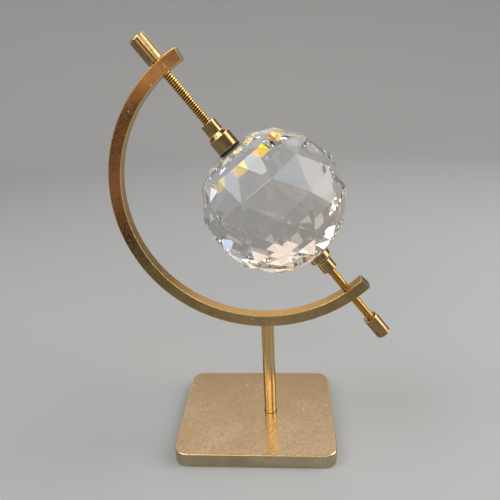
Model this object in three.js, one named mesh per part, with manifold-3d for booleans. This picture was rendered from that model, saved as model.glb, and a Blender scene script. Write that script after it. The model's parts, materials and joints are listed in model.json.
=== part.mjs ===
// A crystal ball held between two threaded brass clamps in a C-shaped brass arc, on a post and a plate.
// Millimetres, +Z up, front is -Y. The origin is the centre of the base plate's underside.

import * as THREE from 'three';
import { ConvexGeometry } from 'three/addons/geometries/ConvexGeometry.js';
import { mergeVertices } from 'three/addons/utils/BufferGeometryUtils.js';
import Module from 'manifold-3d';

const wasm = await Module();
wasm.setup();

const rad = THREE.MathUtils.degToRad;
const GAP = 0.3; // clearance between neighbouring pieces

// Base plate
const BASE_WIDTH = 100;
const BASE_DEPTH = 80;
const BASE_THICKNESS = 10;
const BASE_CORNER_RADIUS = 8;
const BASE_CORNER_STEPS = 8;
const BASE_EDGE_ROUND = 0.8;

// Post, let into a shallow socket in the plate
const POST_RADIUS = 3.95;
const POST_X = 8.8;
const POST_SOCKET_DEPTH = 3;

// Arc: square bar bent to part of a circle in the XZ plane, angles anticlockwise from +X
const ARC_OUTER_RADIUS = 85.3;
const ARC_BAR_DEPTH = 7.1;
const ARC_BAR_WIDTH = 7.5;
const ARC_CENTRE_HEIGHT = 162.8;
const ARC_MIDDLE_ANGLE = 217.2;
const ARC_SPAN = 197.5;
const ARC_EDGE_CHAMFER = 0.35;
const ARC_STEP = 3;
const HOLE_INSET_ANGLE = 8.2; // from each tip to the middle of its threaded hole

// Threaded rods, with the thread's grooves cut as rings
const ROD_RADIUS = 2.45;
const THREAD_DEPTH = 0.5;
const THREAD_PITCH = 1.3;
const ROD_SIDES = 12;
const ROD_SEAT = 8; // how far a rod reaches into its knob or its cup

// Knobs
const KNOB_RADIUS = 4.55;
const KNOB_LENGTH = 14.8;
const KNOB_CHAMFER = 0.8;

// Cups that press on the ball, each with a rubber ring in front
const CUP_RIM_RADIUS = 6.5;
const CUP_NECK_RADIUS = 4.5;
const CUP_NECK_LENGTH = 7;
const CUP_SHOULDER = 2.1;
const CUP_CHAMFER = 0.4;
const PAD_RADIUS = 6.6;
const PAD_HOLE_RADIUS = 4.2;
const PAD_THICKNESS = 1.4;
const PAD_ROUND = 0.5;
const TURNED_SIDES = 32;
const BORE_SIDES = 24;

// Ball: rings of facet corners round the clamps' axis, each ring turned by half a facet from the last
const BALL_RADIUS = 40.4;
const BALL_RING_STEP = 25.5;
const BALL_FACETS_ROUND = 12;
const BALL_TURN = 6.3;
const BALL_TABLE_RADIUS = 14.8;
const BALL_TABLE_HEIGHT = 36.7; // from the ball's middle to each of its two flat tables

// Places along the clamps' axis: distances out from the arc's middle, in each clamp's own direction
const BALL_BELOW_MIDDLE = 9;
const UPPER_CUP_OUTER_END = 46.6;
const UPPER_KNOB_INNER_END = 85.8;
const LOWER_CUP_OUTER_END = 61.6;
const LOWER_KNOB_INNER_END = 102.5;

// The chord between the two holes is the clamps' axis. It passes just above the arc's own centre.
const barMiddleRadius = ARC_OUTER_RADIUS - ARC_BAR_DEPTH / 2;
const holeHalfAngle = ARC_SPAN / 2 - HOLE_INSET_ANGLE;
const axisOffset = -barMiddleRadius * Math.cos(rad(holeHalfAngle));
const axisTilt = rad(180 - ARC_MIDDLE_ANGLE);
const boreRadius = ROD_RADIUS + GAP;

const metal = (color, roughness) => new THREE.MeshStandardMaterial({ color, roughness, metalness: 1 });
const plateBrass = metal('#b49a78', 0.42);
const barBrass = metal('#8a6a3c', 0.38);
const rodBrass = metal('#d9a441', 0.25);
const turnedBrass = metal('#c9a869', 0.22);
const rubber = new THREE.MeshStandardMaterial({ color: '#17120f', roughness: 0.7, metalness: 0 });
const crystal = new THREE.MeshStandardMaterial({
  color: '#dfe3e2',
  roughness: 0.02,
  metalness: 0,
  transparent: true,
  opacity: 0.4,
});

function piece(name, geometry, material) {
  const mesh = new THREE.Mesh(geometry, material);
  mesh.name = name;
  return mesh;
}

function toManifold(geometry) {
  const bare = geometry.clone();
  bare.deleteAttribute('normal');
  bare.deleteAttribute('uv');
  const merged = mergeVertices(bare, 1e-4);
  return new wasm.Manifold(new wasm.Mesh({
    numProp: 3,
    vertProperties: new Float32Array(merged.attributes.position.array),
    triVerts: new Uint32Array(merged.index.array),
  }));
}

function cut(body, tool) {
  const { vertProperties, triVerts } = toManifold(body).subtract(toManifold(tool)).getMesh();
  const geometry = new THREE.BufferGeometry();
  geometry.setAttribute('position', new THREE.BufferAttribute(vertProperties, 3));
  geometry.setIndex(new THREE.BufferAttribute(triVerts, 1));
  geometry.computeVertexNormals();
  return geometry;
}

// A turned solid with its axis on Z, from [radius, height] corners that run up the outside
function turned(corners, sides = TURNED_SIDES) {
  const profile = corners.map(([radius, height]) => new THREE.Vector2(radius, height));
  return new THREE.LatheGeometry(profile, sides).rotateX(Math.PI / 2);
}

function cylinder(radius, low, high, sides) {
  return turned([[0, low], [radius, low], [radius, high], [0, high]], sides);
}

function roundedRectangle(width, depth, radius) {
  const x = width / 2 - radius;
  const y = depth / 2 - radius;
  const quarter = Math.PI / 2;
  const shape = new THREE.Shape();
  shape.absarc(x, y, radius, 0, quarter);
  shape.absarc(-x, y, radius, quarter, 2 * quarter);
  shape.absarc(-x, -y, radius, 2 * quarter, 3 * quarter);
  shape.absarc(x, -y, radius, 3 * quarter, 4 * quarter);
  shape.closePath();
  return shape;
}

function basePlate() {
  const outline = roundedRectangle(BASE_WIDTH, BASE_DEPTH, BASE_CORNER_RADIUS);
  const plate = new THREE.ExtrudeGeometry(outline, {
    depth: BASE_THICKNESS - 2 * BASE_EDGE_ROUND,
    bevelThickness: BASE_EDGE_ROUND,
    bevelSize: BASE_EDGE_ROUND,
    bevelOffset: -BASE_EDGE_ROUND,
    bevelSegments: 2,
    curveSegments: BASE_CORNER_STEPS / 2,
  }).translate(0, 0, BASE_EDGE_ROUND);
  const socketFloor = BASE_THICKNESS - POST_SOCKET_DEPTH;
  const socket = cylinder(POST_RADIUS + GAP, socketFloor, BASE_THICKNESS + 1).translate(POST_X, 0, 0);
  return cut(plate, socket);
}

function post() {
  const foot = BASE_THICKNESS - POST_SOCKET_DEPTH + GAP;
  const top = ARC_CENTRE_HEIGHT - ARC_OUTER_RADIUS - GAP;
  return cylinder(POST_RADIUS, foot, top);
}

// The bar is drawn in XY, given its width along Z, and stood up into the XZ plane.
function arc() {
  const start = rad(ARC_MIDDLE_ANGLE - ARC_SPAN / 2);
  const end = rad(ARC_MIDDLE_ANGLE + ARC_SPAN / 2);
  const outline = new THREE.Shape();
  outline.absarc(0, 0, ARC_OUTER_RADIUS, start, end, false);
  outline.absarc(0, 0, ARC_OUTER_RADIUS - ARC_BAR_DEPTH, end, start, true);
  outline.closePath();
  const bar = new THREE.ExtrudeGeometry(outline, {
    depth: ARC_BAR_WIDTH - 2 * ARC_EDGE_CHAMFER,
    bevelThickness: ARC_EDGE_CHAMFER,
    bevelSize: ARC_EDGE_CHAMFER,
    bevelOffset: -ARC_EDGE_CHAMFER,
    bevelSegments: 1,
    curveSegments: Math.round(ARC_SPAN / ARC_STEP / 2),
  }).translate(0, 0, ARC_EDGE_CHAMFER - ARC_BAR_WIDTH / 2).rotateX(Math.PI / 2);
  const reach = ARC_OUTER_RADIUS + ARC_BAR_DEPTH;
  const drill = cylinder(boreRadius, -reach, reach, BORE_SIDES).translate(axisOffset, 0, 0).rotateY(axisTilt);
  return cut(bar, drill);
}

// The clamp's pieces stand on Z with the ball below them, at heights out from the arc's middle.
function knob(innerEnd) {
  const outerEnd = innerEnd + KNOB_LENGTH;
  return turned([
    [0, innerEnd + ROD_SEAT],
    [boreRadius, innerEnd + ROD_SEAT],
    [boreRadius, innerEnd],
    [KNOB_RADIUS - KNOB_CHAMFER / 2, innerEnd],
    [KNOB_RADIUS, innerEnd + KNOB_CHAMFER / 2],
    [KNOB_RADIUS, outerEnd - KNOB_CHAMFER],
    [KNOB_RADIUS - KNOB_CHAMFER, outerEnd],
    [0, outerEnd],
  ]);
}

function threadedRod(cupEnd, knobEnd) {
  const turns = Math.floor((knobEnd - cupEnd) / THREAD_PITCH);
  const threadStart = (cupEnd + knobEnd - turns * THREAD_PITCH) / 2;
  const lowTip = cupEnd - ROD_SEAT + GAP;
  const highTip = knobEnd + ROD_SEAT - GAP;
  const corners = [[0, lowTip], [ROD_RADIUS, lowTip]];
  for (let turn = 0; turn < turns; turn += 1) {
    const crest = threadStart + turn * THREAD_PITCH;
    corners.push([ROD_RADIUS, crest]);
    corners.push([ROD_RADIUS - THREAD_DEPTH, crest + THREAD_PITCH / 2]);
  }
  corners.push([ROD_RADIUS, threadStart + turns * THREAD_PITCH]);
  corners.push([ROD_RADIUS, highTip], [0, highTip]);
  return turned(corners, ROD_SIDES);
}

function cup(innerEnd, outerEnd) {
  const neckStart = outerEnd - CUP_NECK_LENGTH;
  return turned([
    [0, innerEnd],
    [CUP_RIM_RADIUS - CUP_CHAMFER, innerEnd],
    [CUP_RIM_RADIUS, innerEnd + CUP_CHAMFER],
    [CUP_RIM_RADIUS, neckStart - CUP_SHOULDER],
    [CUP_NECK_RADIUS, neckStart],
    [CUP_NECK_RADIUS, outerEnd - CUP_CHAMFER],
    [CUP_NECK_RADIUS - CUP_CHAMFER, outerEnd],
    [boreRadius, outerEnd],
    [boreRadius, outerEnd - ROD_SEAT],
    [0, outerEnd - ROD_SEAT],
  ]);
}

function rubberRing(innerEnd) {
  const outerEnd = innerEnd + PAD_THICKNESS;
  return turned([
    [PAD_HOLE_RADIUS, innerEnd],
    [PAD_RADIUS - PAD_ROUND, innerEnd],
    [PAD_RADIUS, innerEnd + PAD_ROUND],
    [PAD_RADIUS, outerEnd - PAD_ROUND],
    [PAD_RADIUS - PAD_ROUND, outerEnd],
    [PAD_HOLE_RADIUS, outerEnd],
    [PAD_HOLE_RADIUS, innerEnd],
  ]);
}

function clamp(side, tableHeight, cupEnd, knobEnd) {
  const padStart = tableHeight + GAP;
  const cupStart = padStart + PAD_THICKNESS + GAP;
  const parts = new THREE.Group();
  parts.add(
    piece(`${side}_knob`, knob(knobEnd), turnedBrass),
    piece(`${side}_screw`, threadedRod(cupEnd, knobEnd), rodBrass),
    piece(`${side}_cup`, cup(cupStart, cupEnd), turnedBrass),
    piece(`${side}_pad`, rubberRing(padStart), rubber),
  );
  return parts;
}

// A ring of facet corners at one height on the ball's axis
function cornerRing(radius, height, turn) {
  return Array.from({ length: BALL_FACETS_ROUND }, (_, index) => {
    const angle = turn + (index * 2 * Math.PI) / BALL_FACETS_ROUND;
    return new THREE.Vector3(radius * Math.cos(angle), radius * Math.sin(angle), height);
  });
}

// A cut ball is the convex hull of its facet corners.
function crystalBall() {
  const halfFacet = Math.PI / BALL_FACETS_ROUND;
  const corners = [];
  for (let ring = -3; ring <= 3; ring += 1) {
    const latitude = rad(ring * BALL_RING_STEP);
    const isTable = Math.abs(ring) === 3;
    const radius = isTable ? BALL_TABLE_RADIUS : BALL_RADIUS * Math.cos(latitude);
    const height = isTable ? Math.sign(ring) * BALL_TABLE_HEIGHT : BALL_RADIUS * Math.sin(latitude);
    corners.push(...cornerRing(radius, height, rad(BALL_TURN) + Math.abs(ring) * halfFacet));
  }
  return new ConvexGeometry(corners);
}

const stand = new THREE.Group();
const arcMesh = piece('arc', arc(), barBrass);
arcMesh.position.set(POST_X, 0, ARC_CENTRE_HEIGHT);
const postMesh = piece('post', post(), rodBrass);
postMesh.position.set(POST_X, 0, 0);
stand.add(piece('base_plate', basePlate(), plateBrass), postMesh, arcMesh);

// The clamps' axis is this group's Z, pointing up and to the left.
const clampAxis = new THREE.Group();
clampAxis.position.x = POST_X + axisOffset * Math.cos(axisTilt);
clampAxis.position.z = ARC_CENTRE_HEIGHT - axisOffset * Math.sin(axisTilt);
clampAxis.rotation.y = axisTilt;

const ball = piece('crystal_ball', crystalBall(), crystal);
ball.position.z = -BALL_BELOW_MIDDLE;
const upperTable = BALL_TABLE_HEIGHT - BALL_BELOW_MIDDLE;
const lowerTable = BALL_TABLE_HEIGHT + BALL_BELOW_MIDDLE;
const upperClamp = clamp('upper', upperTable, UPPER_CUP_OUTER_END, UPPER_KNOB_INNER_END);
const lowerClamp = clamp('lower', lowerTable, LOWER_CUP_OUTER_END, LOWER_KNOB_INNER_END);
lowerClamp.rotation.x = Math.PI;
clampAxis.add(ball, upperClamp, lowerClamp);

const group = new THREE.Group();
group.add(stand, clampAxis);

export default group;
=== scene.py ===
# %% [markdown]
# # A cut crystal ball in a brass clamp stand
#
# The stand is a heavy brass plate, a round post and a square brass bar bent to a C. Two threaded clamps
# pass through the ends of the C and hold a faceted crystal ball between them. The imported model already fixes
# every size and place, so this lesson only gives each piece its true surface: round where the metal is
# round, crisp where it was cut, and with the finish that each process leaves.

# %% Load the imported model
import json
import math
import random
import bmesh
import bpy
from mathutils import Matrix, Vector


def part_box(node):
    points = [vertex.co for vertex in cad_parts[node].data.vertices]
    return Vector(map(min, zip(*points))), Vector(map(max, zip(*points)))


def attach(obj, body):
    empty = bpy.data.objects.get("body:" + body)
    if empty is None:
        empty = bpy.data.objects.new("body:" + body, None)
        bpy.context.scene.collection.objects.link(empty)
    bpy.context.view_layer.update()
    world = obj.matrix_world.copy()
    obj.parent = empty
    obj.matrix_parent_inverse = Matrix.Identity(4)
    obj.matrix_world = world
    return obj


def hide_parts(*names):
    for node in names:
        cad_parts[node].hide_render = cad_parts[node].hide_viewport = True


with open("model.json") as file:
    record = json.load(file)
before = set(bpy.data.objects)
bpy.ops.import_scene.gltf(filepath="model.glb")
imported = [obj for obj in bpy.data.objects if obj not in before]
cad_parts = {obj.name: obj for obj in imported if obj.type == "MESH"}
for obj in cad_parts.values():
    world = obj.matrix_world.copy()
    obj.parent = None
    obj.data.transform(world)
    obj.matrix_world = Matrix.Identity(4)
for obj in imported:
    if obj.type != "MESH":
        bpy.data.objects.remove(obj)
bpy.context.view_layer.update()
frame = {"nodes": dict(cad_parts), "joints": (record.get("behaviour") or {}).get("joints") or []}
MM = 0.001

# %% [markdown]
# ## The camera
# The view looks down on the stand from a little to the right of its middle, and leans slightly. The camera's
# place is given from the middle of the plate's foot, and its turn as three plain angles, so each can be
# changed alone. Read from its last factor, the matrix rolls the camera about its line of sight, tips it up
# from looking straight down, and swings it round.

# %% Camera
EYE = Vector((21.5, -258.6, 235.7)) * MM
LOOK_DOWN = math.radians(22.71)
SWING_LEFT = math.radians(4.69)
ROLL = math.radians(-2.92)
LENS = 34.72  # mm, on a sensor 36 mm wide
NEAREST_SEEN = 10 * MM

camera = bpy.data.objects.new("camera", bpy.data.cameras.new("camera"))
camera.data.lens = LENS
camera.data.clip_start = NEAREST_SEEN
camera.matrix_world = (
    Matrix.Translation(EYE)
    @ Matrix.Rotation(SWING_LEFT, 4, "Z")
    @ Matrix.Rotation(math.pi / 2 - LOOK_DOWN, 4, "X")
    @ Matrix.Rotation(ROLL, 4, "Z")
)
bpy.context.scene.collection.objects.link(camera)
bpy.context.scene.camera = camera
print("camera at", [round(value / MM) for value in EYE], "mm")

# %% [markdown]
# ## Helpers for materials
# Colours are chosen as sRGB hex values, as a paint program shows them, but shaders work in linear light, so
# one function turns one into the other. Another adds any node, sets its settings, and either links an input
# or gives it a value. Most finishes here are coats: a base colour, then patina, dirt and wear, each laid
# over the ones below it. The last function lays a list of coats, so each material reads as such a list.

# %% Colour and node helpers
def linear(hex_colour):
    channels = [int(hex_colour[start:start + 2], 16) / 255 for start in (1, 3, 5)]
    return [c / 12.92 if c <= 0.04045 else ((c + 0.055) / 1.055) ** 2.4 for c in channels] + [1.0]


def feed(tree, node, inputs):
    """Links each input that is given a socket, and sets each that is given a value."""
    for name, value in inputs.items():
        if isinstance(value, bpy.types.NodeSocket):
            tree.links.new(value, node.inputs[name])
        else:
            node.inputs[name].default_value = value


def add_node(tree, kind, inputs, **settings):
    node = tree.nodes.new("ShaderNode" + kind)
    for name, value in settings.items():
        setattr(node, name, value)
    feed(tree, node, inputs)
    return node


# The Mix node names its sockets alike for each type, so its colour sockets are told apart by number.
MIX_A, MIX_B, MIX_RESULT = 6, 7, 2


def lay_coats(tree, base, coats):
    """The base colour with each coat, an amount and a colour, laid over the ones before it."""
    for amount, coat in coats:
        inputs = {0: amount, MIX_A: base, MIX_B: coat}
        base = add_node(tree, "Mix", inputs, data_type="RGBA").outputs[MIX_RESULT]
    return base


def new_material(name):
    material = bpy.data.materials.new(name)
    material.use_nodes = True
    tree = material.node_tree
    return material, tree, tree.nodes["Principled BSDF"]


print("brass yellow in linear light:", [round(value, 3) for value in linear("#c9a869")])

# %% [markdown]
# ## The clamps' axis
# Both clamps, the ball and the two holes share one slanting line. The upper clamp's joint holds its
# direction and the knob's joint a point on it. From them comes a frame whose Z runs out along the upper
# clamp, and a second one, turned half round, whose Z runs out along the lower clamp. Each clamp piece can
# then be turned on Z like work in a lathe, and set in place at the end.

# %% Frames along the clamps' axis
joints = {joint["name"]: joint for joint in frame["joints"]}
axis_point = Vector(joints["upper_knob_turn"]["pos_m"])
axis_up = Vector(joints["upper_clamp_slide"]["axis"]).normalized()
across = Vector((0, 1, 0)).cross(axis_up)
upper_place = Matrix.Translation(axis_point) @ Matrix((across, (0, 1, 0), axis_up)).transposed().to_4x4()
lower_place = upper_place @ Matrix.Rotation(math.pi, 4, "X")
places = {"upper": upper_place, "lower": lower_place}


def span_along(node_name, place):
    to_axis = place.inverted()
    heights = [(to_axis @ vertex.co).z for vertex in frame["nodes"][node_name].data.vertices]
    return min(heights), max(heights)


def clamp_coordinates(tree):
    """A piece's own coordinates, turned so that Z lies along the clamps' axis."""
    own = add_node(tree, "TexCoord", {}).outputs["Object"]
    inputs = {"Vector": own, "Location": axis_point, "Rotation": upper_place.to_euler()}
    return add_node(tree, "Mapping", inputs, vector_type="TEXTURE").outputs["Vector"]


for name in ("upper_cup", "upper_screw", "upper_knob"):
    print(name, "runs from", [round(height / MM, 1) for height in span_along(name, upper_place)], "mm")

# %% [markdown]
# ## Turning a mesh into a piece
# Each piece ends the same way. Its mesh is shaded smooth with crisp edges kept, it rides on its CAD body,
# and it replaces its CAD node. A weighted-normal modifier lets the large flat faces rule the shading, so a
# narrow rounded edge doesn't bend the light on the flat beside it.

# %% Piece helper
CRISP_ANGLE = math.radians(32)


def finish_piece(name, bm, material, body, node_name, place=Matrix.Identity(4), crisp=CRISP_ANGLE):
    bmesh.ops.transform(bm, matrix=place, verts=bm.verts)
    open_edges = sum(not edge.is_manifold for edge in bm.edges)
    mesh = bpy.data.meshes.new(name)
    bm.to_mesh(mesh)
    bm.free()
    mesh.shade_smooth()
    mesh.set_sharp_from_angle(angle=crisp)
    mesh.materials.append(material)
    piece = bpy.data.objects.new(name, mesh)
    bpy.context.scene.collection.objects.link(piece)
    weights = piece.modifiers.new("flat faces rule", "WEIGHTED_NORMAL")
    weights.keep_sharp = True
    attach(piece, body)
    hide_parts(node_name)
    print(name, "has", len(mesh.polygons), "faces and", open_edges, "open edges")


# %% [markdown]
# ## Brass, and how its surfaces differ
# All the metal is brass, an alloy of copper and zinc. What the eye tells apart is how each surface was made
# and how it has aged. The plate was ground flat and has dulled to tan. The bar has a brown patina, rubbed
# bright along its edges. The post is drawn rod with a polish, and the knobs and cups come off a lathe. A
# metal's look sits in its base colour and roughness, so those carry the patterns.

# %% [markdown]
# ### The plate: ground and dulled brass
# Grinding leaves fine straight lines along the plate's length, and age adds cloudy patches and a sandy
# grain. The plate is coloured browner and darker towards its far side. The lines are a noise that is
# stretched along X, the clouds and the grain are the same noise at two sizes, and the browner tone follows Y.

# %% Ground brass: lines, clouds and grain
ground_brass, tree, shader = new_material("ground_brass_dulled")
place_on_plate = add_node(tree, "TexCoord", {}).outputs["Object"]
GRIND_LENGTH = 11 * MM
GRIND_WIDTH = 0.5 * MM  # real lines are a tenth of this, drawn wider so that they show
CLOUD_SIZE = 17 * MM
GRAIN_SIZE = 0.8 * MM  # coarser than the real grain, so that it shows
stretched = add_node(tree, "Mapping", {
    "Vector": place_on_plate,
    "Scale": (1 / GRIND_LENGTH, 1 / GRIND_WIDTH, 1 / GRIND_WIDTH),
}).outputs["Vector"]
grind = add_node(tree, "TexNoise", {"Vector": stretched, "Scale": 1.0, "Detail": 3.0}).outputs["Fac"]
grind_amount = add_node(tree, "MapRange", {
    "Value": grind, "From Min": 0.3, "From Max": 0.7, "To Min": 0.0, "To Max": 0.2,
}).outputs["Result"]
clouds = add_node(tree, "TexNoise", {
    "Vector": place_on_plate, "Scale": 1 / CLOUD_SIZE, "Detail": 6.0, "Roughness": 0.62,
}).outputs["Fac"]
cloud_amount = add_node(tree, "MapRange", {
    "Value": clouds, "From Min": 0.34, "From Max": 0.66,
}).outputs["Result"]
sand = add_node(tree, "TexNoise", {
    "Vector": place_on_plate, "Scale": 1 / GRAIN_SIZE, "Detail": 2.0, "Roughness": 0.7,
}).outputs["Fac"]
sand_amount = add_node(tree, "MapRange", {
    "Value": sand, "From Min": 0.48, "From Max": 0.68, "To Min": 0.0, "To Max": 0.55,
}).outputs["Result"]
plate_low, plate_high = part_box("base_plate")
depth = add_node(tree, "SeparateXYZ", {"Vector": place_on_plate}).outputs["Y"]
back_amount = add_node(tree, "MapRange", {
    "Value": depth, "From Min": plate_low.y, "From Max": plate_high.y, "To Min": 0.0, "To Max": 0.8,
}).outputs["Result"]
print("ground brass: lines", GRIND_LENGTH / MM, "mm long, clouds", CLOUD_SIZE / MM, "mm")

# %% [markdown]
# Corrosion leaves brown pits and pale specks. They are cells of a Voronoi pattern, kept only where another
# noise is high, so that they come in loose groups. Each cell's own random colour picks whether it is brown
# or pale.

# %% Ground brass: pits and specks
PIT_SPACING = 3.2 * MM
PIT_GROUP_SIZE = 14 * MM
pits = add_node(tree, "TexVoronoi", {"Vector": place_on_plate, "Scale": 1 / PIT_SPACING})
pit_core = add_node(tree, "MapRange", {
    "Value": pits.outputs["Distance"], "From Min": 0.1, "From Max": 0.17, "To Min": 1.0, "To Max": 0.0,
}).outputs["Result"]
pit_groups = add_node(tree, "TexNoise", {
    "Vector": place_on_plate, "Scale": 1 / PIT_GROUP_SIZE, "Detail": 2.0,
}).outputs["Fac"]
pit_share = add_node(tree, "MapRange", {
    "Value": pit_groups, "From Min": 0.54, "From Max": 0.66,
}).outputs["Result"]
pit_amount = add_node(tree, "Math", {0: pit_core, 1: pit_share}, operation="MULTIPLY").outputs["Value"]
pit_pick = add_node(tree, "SeparateColor", {"Color": pits.outputs["Color"]}).outputs["Red"]
pit_kind = add_node(tree, "Math", {0: pit_pick, 1: 0.22}, operation="GREATER_THAN").outputs["Value"]
pit_colour = lay_coats(tree, linear("#5d4526"), [(pit_kind, linear("#ecd3a0"))])
print("one pit or speck in each", PIT_SPACING / MM, "mm, within the groups")

# %% [markdown]
# Now the coats are laid in the order in which they came: tan metal with its clouds, the brown far side, the
# grinding lines, the grain and the pits. Hands rub the edges bright and smooth, and the "worn" attribute,
# which the edge rounding sets further down, says where.

# %% Ground brass: coats and gloss
worn = add_node(tree, "Attribute", {}, attribute_name="worn").outputs["Fac"]
colour = lay_coats(tree, linear("#b2a084"), [
    (cloud_amount, linear("#c9ba9b")),
    (back_amount, linear("#8f7f67")),
    (grind_amount, linear("#a08a62")),
    (sand_amount, linear("#7d6845")),
    (pit_amount, pit_colour),
    (worn, linear("#dcbf8a")),
])
dulled = add_node(tree, "MapRange", {
    "Value": clouds, "From Min": 0.3, "From Max": 0.7, "To Min": 0.17, "To Max": 0.27,
}).outputs["Result"]
polished = add_node(tree, "Math", {0: worn, 1: 0.08}, operation="MULTIPLY").outputs["Value"]
roughness = add_node(tree, "Math", {0: dulled, 1: polished}, operation="SUBTRACT").outputs["Value"]
relief = add_node(tree, "Math", {0: grind, 1: pit_amount}, operation="SUBTRACT").outputs["Value"]
bump = add_node(tree, "Bump", {"Height": relief, "Strength": 0.18, "Distance": 0.05 * MM}).outputs["Normal"]
feed(tree, shader, {"Base Color": colour, "Roughness": roughness, "Normal": bump, "Metallic": 1.0})
print("the plate's finish has", len(tree.nodes), "nodes")

# %% [markdown]
# ### The arc: bar brass with a brown patina
# The bar's flat sides carry the patina. From the top down it is brown at the tip, copper, deep brown, copper
# again at half height, darkest below that, and olive to tan at the foot. A colour ramp over the arc's height
# holds these tones. Every ramp starts with a stop at each end, so those two are recoloured and only the ones
# between are new.

# %% Patinated brass: tone over the height
bar_brass, tree, shader = new_material("bar_brass_patina")
coordinates = add_node(tree, "TexCoord", {})
place_on_bar = coordinates.outputs["Object"]
PATINA = {
    # share of the arc's height: colour
    0.0: "#a8926a",
    0.14: "#877a54",
    0.38: "#3e2d1d",
    0.54: "#9c6444",
    0.80: "#553825",
    0.93: "#b88254",
    1.0: "#7a5838",
}
height = add_node(tree, "SeparateXYZ", {"Vector": place_on_bar}).outputs["Z"]
arc_low, arc_high = (corner.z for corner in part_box("arc"))
height_share = add_node(tree, "MapRange", {
    "Value": height, "From Min": arc_low, "From Max": arc_high,
}).outputs["Result"]
patina_ramp = add_node(tree, "ValToRGB", {"Fac": height_share})
stops = patina_ramp.color_ramp.elements
stops[0].color = linear(PATINA[0.0])
stops[-1].color = linear(PATINA[1.0])
for share in list(PATINA)[1:-1]:
    stops.new(share).color = linear(PATINA[share])
patina = patina_ramp.outputs["Color"]
print("arc patina changes over", round((arc_high - arc_low) / MM), "mm of height")

# %% [markdown]
# Blotches and a fine grain break up the tone. The inner and outer faces were rubbed when the bar was bent
# and stay lighter, and the surface normal tells them from the flat sides. The two sawn ends are darker, and
# an attribute on their faces marks them.

# %% Patinated brass: blotches, grain and rubbed faces
BLOTCH_SIZE = 9 * MM
BAR_GRAIN_SIZE = 0.7 * MM
blotches = add_node(tree, "TexNoise", {
    "Vector": place_on_bar, "Scale": 1 / BLOTCH_SIZE, "Detail": 5.0, "Roughness": 0.6,
}).outputs["Fac"]
blotch_amount = add_node(tree, "MapRange", {
    "Value": blotches, "From Min": 0.4, "From Max": 0.72, "To Min": 0.0, "To Max": 0.55,
}).outputs["Result"]
grain = add_node(tree, "TexNoise", {
    "Vector": place_on_bar, "Scale": 1 / BAR_GRAIN_SIZE, "Detail": 3.0,
}).outputs["Fac"]
grain_amount = add_node(tree, "MapRange", {
    "Value": grain, "From Min": 0.42, "From Max": 0.7, "To Min": 0.0, "To Max": 0.5,
}).outputs["Result"]
sideways = add_node(tree, "SeparateXYZ", {"Vector": coordinates.outputs["Normal"]}).outputs["Y"]
flat_side = add_node(tree, "Math", {0: sideways}, operation="ABSOLUTE").outputs["Value"]
curved_face = add_node(tree, "MapRange", {
    "Value": flat_side, "From Min": 0.3, "From Max": 0.8, "To Min": 0.75, "To Max": 0.0,
}).outputs["Result"]
rubbed = lay_coats(tree, linear("#d2ac6a"), [(grain_amount, linear("#6e5028"))])
sawn = add_node(tree, "Attribute", {}, attribute_name="sawn").outputs["Fac"]
print("bar grain", BAR_GRAIN_SIZE / MM, "mm, blotches", BLOTCH_SIZE / MM, "mm")

# %% [markdown]
# A few bright specks, where the patina has chipped, are again cells of a Voronoi pattern, with only the
# cells that draw a high random colour kept. The coats and the gloss then follow as on the plate.

# %% Patinated brass: specks, coats and gloss
SPECK_SPACING = 4.5 * MM
specks = add_node(tree, "TexVoronoi", {"Vector": place_on_bar, "Scale": 1 / SPECK_SPACING})
speck_core = add_node(tree, "MapRange", {
    "Value": specks.outputs["Distance"], "From Min": 0.07, "From Max": 0.13, "To Min": 1.0, "To Max": 0.0,
}).outputs["Result"]
speck_pick = add_node(tree, "SeparateColor", {"Color": specks.outputs["Color"]}).outputs["Red"]
speck_kept = add_node(tree, "Math", {0: speck_pick, 1: 0.6}, operation="GREATER_THAN").outputs["Value"]
speck_amount = add_node(tree, "Math", {0: speck_core, 1: speck_kept}, operation="MULTIPLY").outputs["Value"]
worn = add_node(tree, "Attribute", {}, attribute_name="worn").outputs["Fac"]
colour = lay_coats(tree, patina, [
    (blotch_amount, linear("#5a4128")),
    (grain_amount, linear("#b8935c")),
    (curved_face, rubbed),
    (sawn, linear("#5d4a30")),
    (speck_amount, linear("#e2c28c")),
    (worn, linear("#e3c07f")),
])
dulled = add_node(tree, "MapRange", {
    "Value": blotches, "From Min": 0.3, "From Max": 0.7, "To Min": 0.3, "To Max": 0.4,
}).outputs["Result"]
polished = add_node(tree, "Math", {0: worn, 1: 0.15}, operation="MULTIPLY").outputs["Value"]
roughness = add_node(tree, "Math", {0: dulled, 1: polished}, operation="SUBTRACT").outputs["Value"]
bump = add_node(tree, "Bump", {"Height": grain, "Strength": 0.15, "Distance": 0.05 * MM}).outputs["Normal"]
feed(tree, shader, {"Base Color": colour, "Roughness": roughness, "Normal": bump, "Metallic": 1.0})
print("the arc's finish has", len(tree.nodes), "nodes")
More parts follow.
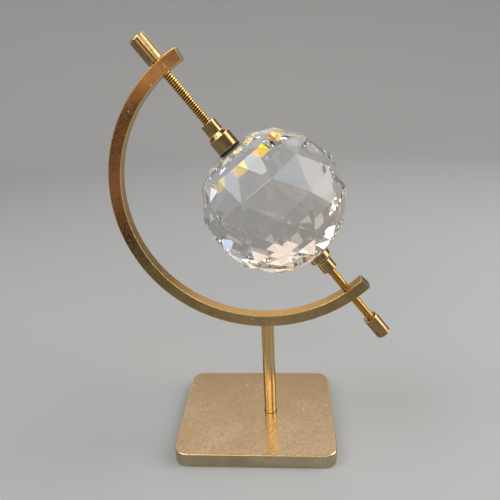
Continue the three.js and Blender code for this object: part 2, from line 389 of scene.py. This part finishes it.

# %% [markdown]
# ### The post: drawn and polished rod
# Rod is drawn through a die, which leaves faint lines along it, and the polish brings out the strong yellow
# of clean brass. Towards the top it has browned a little, and the foot is kept lighter as a painted
# reflection of the bright plate below it. The lines are a noise stretched along Z, drawn wider and darker
# than die lines, so that they also paint the dark bands that the rod mirrors.

# %% Drawn brass for the post
drawn_brass, tree, shader = new_material("drawn_brass_polished")
place_on_post = add_node(tree, "TexCoord", {}).outputs["Object"]
DRAW_LENGTH = 45 * MM
DRAW_WIDTH = 0.8 * MM
BRIGHT_FOOT_HEIGHT = 20 * MM
stretched = add_node(tree, "Mapping", {
    "Vector": place_on_post,
    "Scale": (1 / DRAW_WIDTH, 1 / DRAW_WIDTH, 1 / DRAW_LENGTH),
}).outputs["Vector"]
lines = add_node(tree, "TexNoise", {"Vector": stretched, "Scale": 1.0, "Detail": 3.0}).outputs["Fac"]
# Die lines, drawn wide enough to be painted dark reflection bands along the rod as well.
die_lines_and_painted_bands = add_node(tree, "MapRange", {
    "Value": lines, "From Min": 0.35, "From Max": 0.7, "To Min": 0.0, "To Max": 0.4,
}).outputs["Result"]
height = add_node(tree, "SeparateXYZ", {"Vector": place_on_post}).outputs["Z"]
post_foot, post_top = (corner.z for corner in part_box("post"))
# Partly a painted reflection: the post darkens towards its top, so the foot stays lighter, as if lit by the
# plate it mirrors.
browning_and_painted_reflection = add_node(tree, "MapRange", {
    "Value": height, "From Min": post_foot + BRIGHT_FOOT_HEIGHT, "From Max": post_top,
    "To Min": 0.0, "To Max": 0.75,
}).outputs["Result"]
colour = lay_coats(tree, linear("#e6c58c"), [
    (browning_and_painted_reflection, linear("#cca66a")),
    (die_lines_and_painted_bands, linear("#94713f")),
])
roughness = add_node(tree, "MapRange", {
    "Value": lines, "From Min": 0.3, "From Max": 0.7, "To Min": 0.16, "To Max": 0.26,
}).outputs["Result"]
bump = add_node(tree, "Bump", {"Height": lines, "Strength": 0.1, "Distance": 0.03 * MM}).outputs["Normal"]
feed(tree, shader, {"Base Color": colour, "Roughness": roughness, "Normal": bump, "Metallic": 1.0})
print("post browns over", round((post_top - post_foot - BRIGHT_FOOT_HEIGHT) / MM), "mm")

# %% [markdown]
# ### Knobs and cups: brass off the lathe
# A lathe tool leaves fine rings round the work, which a light polish softens, and handling mottles the
# polish. The rings follow the clamps' axis, so this finish reads the coordinates that were turned to it.

# %% Turned brass for the knobs and cups
turned_brass, tree, shader = new_material("turned_brass_polished")
along_axis = clamp_coordinates(tree)
RING_SPACING = 0.4 * MM
RING_REACH = 20 * MM  # wider than the work, so that each ring closes on itself
MOTTLE_SIZE = 2.4 * MM
flattened = add_node(tree, "Mapping", {
    "Vector": along_axis, "Scale": (1 / RING_REACH, 1 / RING_REACH, 1 / RING_SPACING),
}).outputs["Vector"]
rings = add_node(tree, "TexNoise", {"Vector": flattened, "Scale": 1.0, "Detail": 2.0}).outputs["Fac"]
ring_amount = add_node(tree, "MapRange", {
    "Value": rings, "From Min": 0.45, "From Max": 0.75, "To Min": 0.0, "To Max": 0.35,
}).outputs["Result"]
mottle = add_node(tree, "TexNoise", {
    "Vector": along_axis, "Scale": 1 / MOTTLE_SIZE, "Detail": 5.0, "Roughness": 0.65,
}).outputs["Fac"]
mottle_amount = add_node(tree, "MapRange", {
    "Value": mottle, "From Min": 0.42, "From Max": 0.72, "To Min": 0.0, "To Max": 0.55,
}).outputs["Result"]
worn = add_node(tree, "Attribute", {}, attribute_name="worn").outputs["Fac"]
colour = lay_coats(tree, linear("#9f855a"), [
    (mottle_amount, linear("#5f4a2b")),
    (ring_amount, linear("#6e5330")),
    (worn, linear("#edd39b")),
])
roughness = add_node(tree, "MapRange", {
    "Value": mottle, "From Min": 0.35, "From Max": 0.7, "To Min": 0.13, "To Max": 0.24,
}).outputs["Result"]
bump = add_node(tree, "Bump", {"Height": rings, "Strength": 0.12, "Distance": 0.03 * MM}).outputs["Normal"]
feed(tree, shader, {"Base Color": colour, "Roughness": roughness, "Normal": bump, "Metallic": 1.0})
print("lathe rings every", RING_SPACING / MM, "mm")

# %% [markdown]
# ### Screws: cut thread
# On a cut thread the crests are rubbed bright and the grooves keep oil and dirt, and the grooves are also
# painted darker as the shade that falls in them. The distance from the axis tells crest from groove, so a
# blend from brown to gold over the thread's depth gives both.

# %% Thread brass for the screws
ROD_RADIUS = 2.5 * MM
THREAD_DEPTH = 0.42 * MM
THREAD_PITCH = 1.3 * MM
CREST_RUB = 0.06 * MM  # how far down from its crest a thread is rubbed bright
DIRT_SIZE = 1.1 * MM
thread_brass, tree, shader = new_material("thread_brass_dirt_and_painted_shade_in_grooves")
along_axis = clamp_coordinates(tree)
flat = add_node(tree, "VectorMath", {0: along_axis, 1: (1, 1, 0)}, operation="MULTIPLY").outputs["Vector"]
from_axis = add_node(tree, "VectorMath", {0: flat}, operation="LENGTH").outputs["Value"]
crest = add_node(tree, "MapRange", {
    "Value": from_axis, "From Min": ROD_RADIUS - THREAD_DEPTH, "From Max": ROD_RADIUS - CREST_RUB,
}).outputs["Result"]
dirt = add_node(tree, "TexNoise", {
    "Vector": along_axis, "Scale": 1 / DIRT_SIZE, "Detail": 4.0,
}).outputs["Fac"]
dirt_amount = add_node(tree, "MapRange", {
    "Value": dirt, "From Min": 0.4, "From Max": 0.75, "To Min": 0.0, "To Max": 0.4,
}).outputs["Result"]
gold = lay_coats(tree, linear("#ecbf6a"), [(dirt_amount, linear("#845a24"))])
# Partly painted shade: the grooves' dark brown stands for their oil and dirt and for the shade that falls in
# them.
colour = lay_coats(tree, linear("#50331a"), [(crest, gold)])
roughness = add_node(tree, "MapRange", {
    "Value": crest, "To Min": 0.36, "To Max": 0.18,
}).outputs["Result"]
feed(tree, shader, {"Base Color": colour, "Roughness": roughness, "Metallic": 1.0})
print("thread pitch", THREAD_PITCH / MM, "mm, depth", THREAD_DEPTH / MM, "mm")

# %% [markdown]
# ### Pads: moulded rubber
# Black rubber is rough and almost without colour. A fine grain in its height breaks up the little gloss it
# has.

# %% Rubber for the pads
black_rubber, tree, shader = new_material("black_rubber_moulded")
place_on_pad = add_node(tree, "TexCoord", {}).outputs["Object"]
RUBBER_GRAIN = 0.25 * MM
grain = add_node(tree, "TexNoise", {
    "Vector": place_on_pad, "Scale": 1 / RUBBER_GRAIN, "Detail": 3.0,
}).outputs["Fac"]
colour = lay_coats(tree, linear("#060505"), [(grain, linear("#14100e"))])
bump = add_node(tree, "Bump", {"Height": grain, "Strength": 0.3, "Distance": 0.05 * MM}).outputs["Normal"]
feed(tree, shader, {"Base Color": colour, "Roughness": 0.78, "Normal": bump})
print("rubber grain", RUBBER_GRAIN / MM, "mm")

# %% [markdown]
# ### The ball: cut and polished crystal
# Cut crystal is clear, hard glass. Light that meets a facet at a slant turns back inside, which makes the
# cuts sparkle. Leaded kinds have an index near 1.6 and flash more, and this one has the 1.52 of plain crown
# glass. Handling leaves a thin film, which only makes some places a touch less sharp. Transmission, index
# and the strength of its own light are plain values on the shader. Its tint, which paints the room's
# reflections and the fire onto the facets, and the colour of its painted glow come from two attributes of
# the facets, which the sections on tone and fire explain.

# %% Crystal for the ball
crystal, tree, shader = new_material("cut_crystal_polished")
place_on_ball = add_node(tree, "TexCoord", {}).outputs["Object"]
FILM_SIZE = 15 * MM
film = add_node(tree, "TexNoise", {
    "Vector": place_on_ball, "Scale": 1 / FILM_SIZE, "Detail": 4.0,
}).outputs["Fac"]
roughness = add_node(tree, "MapRange", {
    "Value": film, "From Min": 0.45, "From Max": 0.75, "To Min": 0.0, "To Max": 0.03,
}).outputs["Result"]
# Painted reflections and painted fire: this attribute gives the glass its colour facet by facet.
facet_tone_with_painted_light = add_node(tree, "Attribute", {}, attribute_name="facet_tone_with_painted_light").outputs["Color"]
fire = add_node(tree, "Attribute", {}, attribute_name="fire").outputs["Color"]
feed(tree, shader, {"Base Color": facet_tone_with_painted_light, "Emission Color": fire, "Roughness": roughness})
# The painted glow of the fire faces.
shader.inputs["Emission Strength"].default_value = 0.55
shader.inputs["Transmission Weight"].default_value = 1.0
shader.inputs["IOR"].default_value = 1.52
print("crystal index", round(shader.inputs["IOR"].default_value, 2))

# %% [markdown]
# ## Drilling
# The plate has a socket for the post, and the arc has two holes for the screws. In the shop each is drilled
# after the outside is finished, so the same is done here: a Boolean modifier takes a drill away from the
# piece, the result is kept, and the drill is thrown away. The screws' holes are left plain, because their
# thread can't be seen.

# %% Drill helper
DRILL_SIDES = 64


def drilled(bm, radius, length, place):
    """The solid in bm with a round hole taken out of it, centred on place and running along its Z."""
    work = bpy.data.objects.new("work", bpy.data.meshes.new("work"))
    bm.to_mesh(work.data)
    bm.free()
    drill_mesh = bmesh.new()
    bmesh.ops.create_cone(drill_mesh, cap_ends=True, segments=DRILL_SIDES, radius1=radius, radius2=radius,
                          depth=length, matrix=place)
    drill = bpy.data.objects.new("drill", bpy.data.meshes.new("drill"))
    drill_mesh.to_mesh(drill.data)
    drill_mesh.free()
    for thing in (work, drill):
        bpy.context.scene.collection.objects.link(thing)
    cut = work.modifiers.new("drill", "BOOLEAN")
    cut.object = drill
    cut.operation = "DIFFERENCE"
    cut.solver = "EXACT"
    depsgraph = bpy.context.evaluated_depsgraph_get()
    result = bmesh.new()
    result.from_mesh(work.evaluated_get(depsgraph).to_mesh())
    for thing in (work, drill):
        leftover = thing.data
        bpy.data.objects.remove(thing)
        bpy.data.meshes.remove(leftover)
    return result


print("drill has", DRILL_SIDES, "sides")

# %% [markdown]
# ## Softening edges
# No edge in metal or rubber is perfectly sharp. One helper finds the edges where two faces meet at a clear
# angle, and another rounds them with a bevel. Hands rub such edges bright, so the new faces are marked in
# the "worn" attribute that the brass finishes read.

# %% Edge helpers
def sharp_edges(bm, least=math.radians(40)):
    return [edge for edge in bm.edges if edge.is_manifold and edge.calc_face_angle() > least]


def soften(bm, edges, width, segments):
    mark = bm.faces.layers.float.get("worn") or bm.faces.layers.float.new("worn")
    made = bmesh.ops.bevel(bm, geom=edges, offset=width, offset_type="OFFSET", affect="EDGES",
                           segments=segments, profile=0.5, material=-1, clamp_overlap=True)
    for face in made["faces"]:
        face[mark] = 1.0
    return len(made["faces"])


test_cube = bmesh.new()
bmesh.ops.create_cube(test_cube, size=10 * MM)
print("softening a cube makes", soften(test_cube, sharp_edges(test_cube), 1 * MM, 2), "new faces")
test_cube.free()

# %% [markdown]
# ## The base plate
# A plate like this is sawn from flat bar, its corners are filed round, its top is ground and the edges are
# broken by hand. A cube scaled to the plate's size is the bar. Bevelling its four upright edges gives the
# corners, and a second, much smaller bevel breaks the edges. Then the post's socket is drilled.

# %% Base plate
CORNER_RADIUS = 8 * MM
CORNER_STEPS = 14
PLATE_EDGE = 0.7 * MM
POST_RADIUS = 3.95 * MM
SOCKET_CLEARANCE = 0.3 * MM
plate = bmesh.new()
bmesh.ops.create_cube(plate, size=1.0)
bmesh.ops.scale(plate, vec=plate_high - plate_low, verts=plate.verts)
bmesh.ops.translate(plate, vec=(plate_low + plate_high) / 2, verts=plate.verts)
upright = [edge for edge in plate.edges if abs(edge.verts[0].co.z - edge.verts[1].co.z) > 1 * MM]
bmesh.ops.bevel(plate, geom=upright, offset=CORNER_RADIUS, offset_type="OFFSET", affect="EDGES",
                segments=CORNER_STEPS, profile=0.5, material=-1)
soften(plate, sharp_edges(plate), PLATE_EDGE, 3)
post_low, post_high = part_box("post")
post_middle = (post_low + post_high) / 2
socket_depth = plate_high.z - post_low.z + SOCKET_CLEARANCE
socket_place = Matrix.Translation((post_middle.x, post_middle.y, plate_high.z))
plate = drilled(plate, POST_RADIUS + SOCKET_CLEARANCE, 2 * socket_depth, socket_place)
finish_piece("ground_plate", plate, ground_brass, "stand", "base_plate")

# %% [markdown]
# ## The post
# The post is a plain length of drawn rod. It stands in the socket and the arc is fixed on top of it. A cone
# with two equal ends is that rod, and it is made a little longer than the CAD one so that it meets the arc.

# %% Post
POST_SIDES = 96
POST_EDGE = 0.25 * MM
JOIN = 0.4 * MM
post = bmesh.new()
bmesh.ops.create_cone(post, cap_ends=True, segments=POST_SIDES, radius1=POST_RADIUS, radius2=POST_RADIUS,
                      depth=post_high.z - post_low.z + JOIN,
                      matrix=Matrix.Translation(post_middle + Vector((0, 0, JOIN / 2))))
soften(post, sharp_edges(post), POST_EDGE, 2)
finish_piece("drawn_post", post, drawn_brass, "stand", "post")

# %% [markdown]
# ## The arc
# The real arc is square bar rolled to a circle. Here the bar's end is one face, and a spin about the
# circle's centre carries it round. The faces at both ends are marked as sawn, the long edges and the ends
# are softened, and both holes are drilled in one pass along the clamps' axis.

# %% Arc
ARC_OUTER = 85.3 * MM
BAR_DEPTH = 7.1 * MM
BAR_WIDTH = 7.5 * MM
ARC_MIDDLE = math.radians(217.2)
ARC_SPAN = math.radians(197.5)
ARC_STEPS = 144
BAR_EDGE = 0.4 * MM
HOLE_CLEARANCE = 0.08 * MM
SQUARE_ON = 0.1  # two directions whose product is below this are taken as square to each other
arc_box_low, arc_box_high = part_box("arc")
arc_centre = Vector((arc_box_low.x + ARC_OUTER, 0, arc_box_low.z + ARC_OUTER))
arc_start = ARC_MIDDLE - ARC_SPAN / 2
outward = Vector((math.cos(arc_start), 0, math.sin(arc_start)))
arc = bmesh.new()
bar_end = [
    arc.verts.new(arc_centre + outward * radius + Vector((0, side, 0)))
    for radius, side in (
        (ARC_OUTER, -BAR_WIDTH / 2), (ARC_OUTER, BAR_WIDTH / 2),
        (ARC_OUTER - BAR_DEPTH, BAR_WIDTH / 2), (ARC_OUTER - BAR_DEPTH, -BAR_WIDTH / 2),
    )
]
end_face = arc.faces.new(bar_end)
bmesh.ops.spin(arc, geom=[end_face, *end_face.edges, *bar_end], cent=arc_centre, axis=(0, -1, 0),
               angle=ARC_SPAN, steps=ARC_STEPS)
bmesh.ops.holes_fill(arc, edges=[edge for edge in arc.edges if edge.is_boundary], sides=4)
bmesh.ops.recalc_face_normals(arc, faces=arc.faces)
sawn_mark = arc.faces.layers.float.new("sawn")
for face in arc.faces:
    from_centre = (face.calc_center_median() - arc_centre).normalized()
    if abs(face.normal.y) < SQUARE_ON and abs(face.normal.dot(from_centre)) < SQUARE_ON:
        face[sawn_mark] = 1.0
print(round(sum(face[sawn_mark] for face in arc.faces)), "sawn ends")
soften(arc, sharp_edges(arc), BAR_EDGE, 2)
arc = drilled(arc, ROD_RADIUS + HOLE_CLEARANCE, 3 * ARC_OUTER, upper_place)
finish_piece("square_arc", arc, bar_brass, "stand", "arc")

# %% [markdown]
# ## Turned pieces
# Knobs, cups and rubber rings are all bodies of revolution. A lathe sweeps a profile round an axis, and the
# spin operator does the same: a few points give half the section, and one full turn makes the solid.

# %% Lathe helper
TURN_STEPS = 72
TOUCHING = 0.002 * MM  # points nearer than this are one point


def turn(profile):
    """A solid of revolution about Z from a closed half section of (radius, height) points."""
    bm = bmesh.new()
    points = [bm.verts.new((radius, 0, height)) for radius, height in profile]
    outline = [bm.edges.new(pair) for pair in zip(points, points[1:])]
    bmesh.ops.spin(bm, geom=points + outline, cent=(0, 0, 0), axis=(0, 0, 1), angle=2 * math.pi,
                   steps=TURN_STEPS, use_merge=True)
    bmesh.ops.remove_doubles(bm, verts=bm.verts, dist=TOUCHING)
    bmesh.ops.recalc_face_normals(bm, faces=bm.faces)
    return bm


print("one turn is", TURN_STEPS, "steps")

# %% [markdown]
# ## Knobs
# Each knob is a short plain cylinder with a broad chamfer at its outer end, bored for its screw.

# %% Knobs
KNOB_RADIUS = 4.55 * MM
KNOB_CHAMFER = 0.8 * MM
KNOB_EDGE = 0.25 * MM
BORE_RADIUS = 2.6 * MM
SEAT_DEPTH = 8 * MM
for side, place in places.items():
    inner, outer = span_along(f"{side}_knob", place)
    knob = turn([
        (0, inner + SEAT_DEPTH), (BORE_RADIUS, inner + SEAT_DEPTH), (BORE_RADIUS, inner),
        (KNOB_RADIUS, inner), (KNOB_RADIUS, outer - KNOB_CHAMFER),
        (KNOB_RADIUS - KNOB_CHAMFER, outer), (0, outer),
    ])
    soften(knob, sharp_edges(knob), KNOB_EDGE, 2)
    finish_piece(f"{side}_turned_knob", knob, turned_brass,
                 f"{side}_screw", f"{side}_knob", place)

# %% [markdown]
# ## Cups
# A cup is turned in one piece: a wide rim that bears on the pad, a sloping shoulder and a narrow neck with
# the screw's hole in it. The shoulder's edges are blunter than the rest, so they are asked for by a smaller
# angle.

# %% Cups
RIM_RADIUS = 6.5 * MM
NECK_RADIUS = 4.5 * MM
NECK_LENGTH = 7 * MM
SHOULDER = 2.1 * MM
CUP_EDGE = 0.22 * MM
SHOULDER_ANGLE = math.radians(30)
for side, place in places.items():
    inner, outer = span_along(f"{side}_cup", place)
    neck = outer - NECK_LENGTH
    seat = outer - SEAT_DEPTH
    cup = turn([
        (0, inner), (RIM_RADIUS, inner), (RIM_RADIUS, neck - SHOULDER), (NECK_RADIUS, neck),
        (NECK_RADIUS, outer), (BORE_RADIUS, outer), (BORE_RADIUS, seat), (0, seat),
    ])
    soften(cup, sharp_edges(cup, SHOULDER_ANGLE), CUP_EDGE, 2)
    finish_piece(f"{side}_turned_cup", cup, turned_brass,
                 f"{side}_cup", f"{side}_cup", place)

# %% [markdown]
# ## Pads
# A rubber ring keeps the brass off the crystal. It is squeezed a little, so its edge bulges round.

# %% Pads
PAD_RADIUS = 6.6 * MM
PAD_HOLE = 4.2 * MM
PAD_BULGE = 0.5 * MM
for side, place in places.items():
    inner, outer = span_along(f"{side}_pad", place)
    pad = turn([
        (PAD_HOLE, inner), (PAD_RADIUS, inner), (PAD_RADIUS, outer), (PAD_HOLE, outer), (PAD_HOLE, inner),
    ])
    soften(pad, sharp_edges(pad), PAD_BULGE, 4)
    finish_piece(f"{side}_rubber_pad", pad, black_rubber, f"{side}_cup", f"{side}_pad", place)

# %% [markdown]
# ## Screws
# A thread is one groove that climbs as it goes round. The spin operator can climb as well: its dvec moves
# each step a little along the axis. One pitch of the tooth, spun through every turn, closes on itself
# because each turn starts where the last one ended. The rod is made a pitch too long at each end, sawn off
# square and capped.

# %% Screws
STEPS_PER_TURN = 24
CREST_WIDTH = 0.46 * MM
ROOT_WIDTH = 0.36 * MM
root_radius = ROD_RADIUS - THREAD_DEPTH
flank = (THREAD_PITCH - CREST_WIDTH - ROOT_WIDTH) / 2
for side, place in places.items():
    low_tip, high_tip = span_along(f"{side}_screw", place)
    turns = math.ceil((high_tip - low_tip) / THREAD_PITCH) + 2
    start = low_tip - THREAD_PITCH * 1.5
    screw = bmesh.new()
    tooth = [
        screw.verts.new((radius, 0, start + height))
        for radius, height in (
            (root_radius, 0), (root_radius, ROOT_WIDTH), (ROD_RADIUS, ROOT_WIDTH + flank),
            (ROD_RADIUS, ROOT_WIDTH + flank + CREST_WIDTH), (root_radius, THREAD_PITCH),
        )
    ]
    outline = [screw.edges.new(pair) for pair in zip(tooth, tooth[1:])]
    bmesh.ops.spin(screw, geom=tooth + outline, cent=(0, 0, 0), axis=(0, 0, 1),
                   angle=2 * math.pi * turns, steps=STEPS_PER_TURN * turns,
                   dvec=(0, 0, THREAD_PITCH / STEPS_PER_TURN))
    bmesh.ops.remove_doubles(screw, verts=screw.verts, dist=TOUCHING)
    for tip, direction in ((low_tip, -1), (high_tip, 1)):
        bmesh.ops.bisect_plane(screw, geom=[*screw.verts, *screw.edges, *screw.faces],
                               plane_co=(0, 0, tip), plane_no=(0, 0, direction), clear_outer=True)
    bmesh.ops.holes_fill(screw, edges=[edge for edge in screw.edges if edge.is_boundary], sides=0)
    bmesh.ops.recalc_face_normals(screw, faces=screw.faces)
    finish_piece(f"{side}_threaded_rod", screw, thread_brass,
                 f"{side}_screw", f"{side}_screw", place)

# %% [markdown]
# ## The ball
# The cutter sets the ball on the clamps' axis and grinds ring after ring of triangles, with twelve facets in
# each ring and every ring turned by half a facet. The corners of those facets lie on circles of latitude, so
# the circles are drawn and the convex hull operator stretches the skin over them. It splits the two flat
# tables into triangles too, and a limited dissolve makes each table one face again.

# %% Ball
BALL_RADIUS = 40.4 * MM
RING_STEP = math.radians(25.5)
TABLE_RING = 3
FACETS_ROUND = 12
BALL_TURN = math.radians(6.3)
TABLE_RADIUS = 14.8 * MM
TABLE_HEIGHT = 36.7 * MM
ball_low, ball_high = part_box("crystal_ball")
ball_place = Matrix.Translation((ball_low + ball_high) / 2 - axis_point) @ upper_place
ball = bmesh.new()
for ring in range(-TABLE_RING, TABLE_RING + 1):
    latitude = ring * RING_STEP
    radius = BALL_RADIUS * math.cos(latitude)
    height = BALL_RADIUS * math.sin(latitude)
    if abs(ring) == TABLE_RING:
        radius, height = TABLE_RADIUS, math.copysign(TABLE_HEIGHT, ring)
    turned_by = BALL_TURN + abs(ring) * math.pi / FACETS_ROUND + math.pi / 2
    bmesh.ops.create_circle(ball, segments=FACETS_ROUND, radius=radius,
                            matrix=Matrix.Translation((0, 0, height)) @ Matrix.Rotation(turned_by, 4, "Z"))
bmesh.ops.convex_hull(ball, input=ball.verts)
bmesh.ops.dissolve_limit(ball, angle_limit=math.radians(1), verts=ball.verts, edges=ball.edges)
bmesh.ops.recalc_face_normals(ball, faces=ball.faces)
print("the ball has", len(ball.faces), "facets")

# %% [markdown]
# ## Tone of the facets
# No two facets send the eye to the same part of the room, so neighbours differ a little in tone. Each facet
# gets a painted tone of its own that stands for the part of the room it shows: cooler towards the upper
# clamp, warmer towards the lower one, and a little lighter or darker at random. These are painted
# reflections. The second attribute is for fire and starts black, because a new colour attribute starts
# white and would glow.

# %% Facet tints
COOL_PAINTED_REFLECTION, WARM_PAINTED_REFLECTION, NO_LIGHT = linear("#e0ecf3"), linear("#fdeee4"), linear("#000000")
tone_layer_with_painted_light = ball.faces.layers.float_color.new("facet_tone_with_painted_light")
fire_layer = ball.faces.layers.float_color.new("fire")
chance = random.Random(8)
for face in ball.faces:
    # Painted reflection: a tone graded by height and shaded at random, standing for the room each facet shows.
    painted_reflection_warmth = 0.4 - 0.5 * face.calc_center_median().z / BALL_RADIUS + 0.3 * chance.random()
    shade = 0.9 + 0.1 * chance.random()
    face[tone_layer_with_painted_light] = [(cool + (warm - cool) * painted_reflection_warmth) * shade for cool, warm in zip(COOL_PAINTED_REFLECTION, WARM_PAINTED_REFLECTION)]
    face[fire_layer] = NO_LIGHT
print(len(ball.faces), "facets tinted")

# %% [markdown]
# ## Fire
# Crystal bends blue light more than red. Where light leaves a facet at a steep slant the blue turns back
# first, and the facets round the upper cup flash yellow and orange at their corners. The renderer bends all
# colours alike, so the fire is painted as a colour on small faces. Each edge of the crown's facets is cut in
# three, which parts a triangle into nine small ones, and those that hang below a corner are coloured. The
# division is flat, so the shape stays as it was cut. Fire is strongest on one side of the crown and fades
# round it. The same faces also glow a little as painted light, since a flash is brighter than the room.

# %% Fire on the crown
CROWN_RINGS = [
    # (radius, height) of ring two and of the table
    (BALL_RADIUS * math.cos(2 * RING_STEP), BALL_RADIUS * math.sin(2 * RING_STEP)),
    (TABLE_RADIUS, TABLE_HEIGHT),
]
FIRE = {
    # side of the corner: colour at a corner of ring two, and at a corner of the table
    "left": ("#f09c2c", "#fbe22a"),
    "below": ("#f6cc34", "#f6e0cc"),
    "right": ("#fff01c", "#f7c838"),
}
FIRE_SIDE = math.radians(320)
STRAIGHT_BELOW = math.radians(4)
NEAR = 0.1 * MM
crown = {edge for face in ball.faces
         if face.calc_center_median().z > BALL_RADIUS * math.sin(RING_STEP)
         for edge in face.edges}
bmesh.ops.subdivide_edges(ball, edges=list(crown), cuts=2, use_grid_fill=True)
coloured = 0
for ring, (ring_radius, ring_height) in enumerate(CROWN_RINGS):
    for corner in ball.verts:
        off_ring = math.hypot(corner.co.xy.length - ring_radius, corner.co.z - ring_height)
        if off_ring > NEAR:
            continue
        angle = math.atan2(corner.co.y, corner.co.x)
        strength = (0.5 + 0.5 * math.cos(angle - FIRE_SIDE)) ** 2
        for face in corner.link_faces:
            middle = face.calc_center_median()
            if middle.z > corner.co.z - NEAR:
                continue
            aside = math.remainder(math.atan2(middle.y, middle.x) - angle, 2 * math.pi)
            side = "below" if abs(aside) < STRAIGHT_BELOW else "left" if aside < 0 else "right"
            flash = linear(FIRE[side][ring])
            # Painted fire: flash colour in the glass's tint, and a glow of its own.
            face[tone_layer_with_painted_light] = [c + (f - c) * strength for c, f in zip(face[tone_layer_with_painted_light], flash)]
            face[fire_layer] = [f * strength for f in flash[:3]] + [1.0]
            coloured += 1
print(coloured, "small faces show fire")

# %% [markdown]
# The last polish takes the keenness off every edge between facets. A very narrow bevel does the same, and it
# catches the light as a thin line. The cuts that were added for the fire lie flat, so the angle between
# their faces leaves them out.

# %% Polished facet edges
POLISHED_EDGE = 0.14 * MM
FLAT_CUT = math.radians(3)
made = bmesh.ops.bevel(ball, geom=sharp_edges(ball, FLAT_CUT), offset=POLISHED_EDGE, offset_type="OFFSET",
                       affect="EDGES", segments=1, profile=0.5, material=-1, clamp_overlap=True)
for face in made["faces"]:
    face[tone_layer_with_painted_light] = linear("#f4f4f2")
    face[fire_layer] = NO_LIGHT
finish_piece("cut_crystal_ball", ball, crystal, "lower_cup", "crystal_ball", ball_place,
             crisp=math.radians(1))

# %% [markdown]
# ## The studio floor
# Polished metal and glass show what is around them, so the studio is part of the finish. A pale round floor
# sweeps up into a low wall on all sides, which leaves no hard line behind the stand and gives the brass a
# pale band to mirror. Its section is a straight line and a quarter circle, spun once round.

# %% Studio floor
FLOOR_RADIUS = 0.9
SWEEP_RADIUS = 0.5
SWEEP_STEPS = 12
FLOOR_SIDES = 96
floor_mesh = bmesh.new()
section = [floor_mesh.verts.new((0, 0, 0)), floor_mesh.verts.new((FLOOR_RADIUS, 0, 0))]
for step in range(1, SWEEP_STEPS + 1):
    angle = step / SWEEP_STEPS * math.pi / 2
    section.append(floor_mesh.verts.new((
        FLOOR_RADIUS + SWEEP_RADIUS * math.sin(angle), 0, SWEEP_RADIUS * (1 - math.cos(angle)),
    )))
edges = [floor_mesh.edges.new(pair) for pair in zip(section, section[1:])]
bmesh.ops.spin(floor_mesh, geom=section + edges, cent=(0, 0, 0), axis=(0, 0, 1), angle=2 * math.pi,
               steps=FLOOR_SIDES, use_merge=True)
bmesh.ops.remove_doubles(floor_mesh, verts=floor_mesh.verts, dist=0.01 * MM)
floor_mesh.normal_update()
floor = bpy.data.objects.new("studio_floor", bpy.data.meshes.new("studio_floor"))
floor_mesh.to_mesh(floor.data)
floor_mesh.free()
floor.data.shade_smooth()
paper, tree, shader = new_material("pale_studio_paper")
feed(tree, shader, {"Base Color": linear("#9fa2a4"), "Roughness": 0.9})
floor.data.materials.append(paper)
bpy.context.scene.collection.objects.link(floor)
print("floor is", 2 * FLOOR_RADIUS, "m across, with a wall", SWEEP_RADIUS, "m high")

# %% [markdown]
# ## Sky and soft lights
# A dim sky keeps the top of each reflection darker than the floor. Eight soft lights stand round the
# object. The large window at the right makes the long highlights on the turned brass and the streak across
# the plate, and the ones above and behind light the floor and shine through the crystal. The front and room
# lights are warm, and give the sides towards the viewer something to mirror.

# %% Sky and lights
world = bpy.data.worlds.new("studio sky")
world.use_nodes = True
feed(world.node_tree, world.node_tree.nodes["Background"], {"Color": linear("#dcdfe2"), "Strength": 0.35})
bpy.context.scene.world = world

AIM = Vector((0, 0, 120)) * MM
SOFT_LIGHTS = {
    # name: (place in metres, width, height, watts, colour)
    "window": ((0.93, -0.06, 0.56), 0.62, 1.00, 8.0, "#fffaf2"),
    "high window": ((0.66, 0.16, 1.00), 0.55, 0.35, 2.8, "#fffaf2"),
    "skylight": ((0.52, -0.40, 0.92), 0.35, 0.35, 1.1, "#cfe2ff"),
    "ceiling": ((-0.49, -0.12, 1.02), 0.35, 0.50, 3.0, "#ffffff"),
    "front": ((-0.12, -1.15, 1.04), 1.70, 0.32, 8.4, "#fff2dc"),
    "room": ((-0.42, -1.20, 0.30), 0.66, 0.40, 1.15, "#ffe0bc"),
    "backdrop": ((-0.10, 1.10, 0.86), 1.60, 1.00, 4.6, "#ffeadb"),
    "fill": ((-0.92, -0.34, 0.78), 0.70, 0.32, 2.3, "#f6f8ff"),
}
for name, (spot, width, tall, watts, light_colour) in SOFT_LIGHTS.items():
    light = bpy.data.lights.new(name, "AREA")
    light.shape = "RECTANGLE"
    light.size = width
    light.size_y = tall
    light.energy = watts
    light.color = linear(light_colour)[:3]
    lamp = bpy.data.objects.new(name, light)
    lamp.location = spot
    lamp.rotation_euler = (AIM - Vector(spot)).to_track_quat("-Z", "Y").to_euler()
    bpy.context.scene.collection.objects.link(lamp)
    print(name, "light of", watts, "W")

# %% [markdown]
# ## How light travels and how it is shown
# A ray that enters the ball may turn back at many facets before it leaves. With Blender's usual limit it
# would be cut off and those facets would turn black, so the limits are raised. The plain view transform
# keeps the strong colour of brass, which the default one greys in the highlights.

# %% Light paths and view
cycles = bpy.context.scene.cycles
cycles.max_bounces = 32
cycles.transmission_bounces = 32
cycles.glossy_bounces = 12
bpy.context.scene.view_settings.view_transform = "Standard"
print("rays may turn", cycles.transmission_bounces, "times in the crystal")
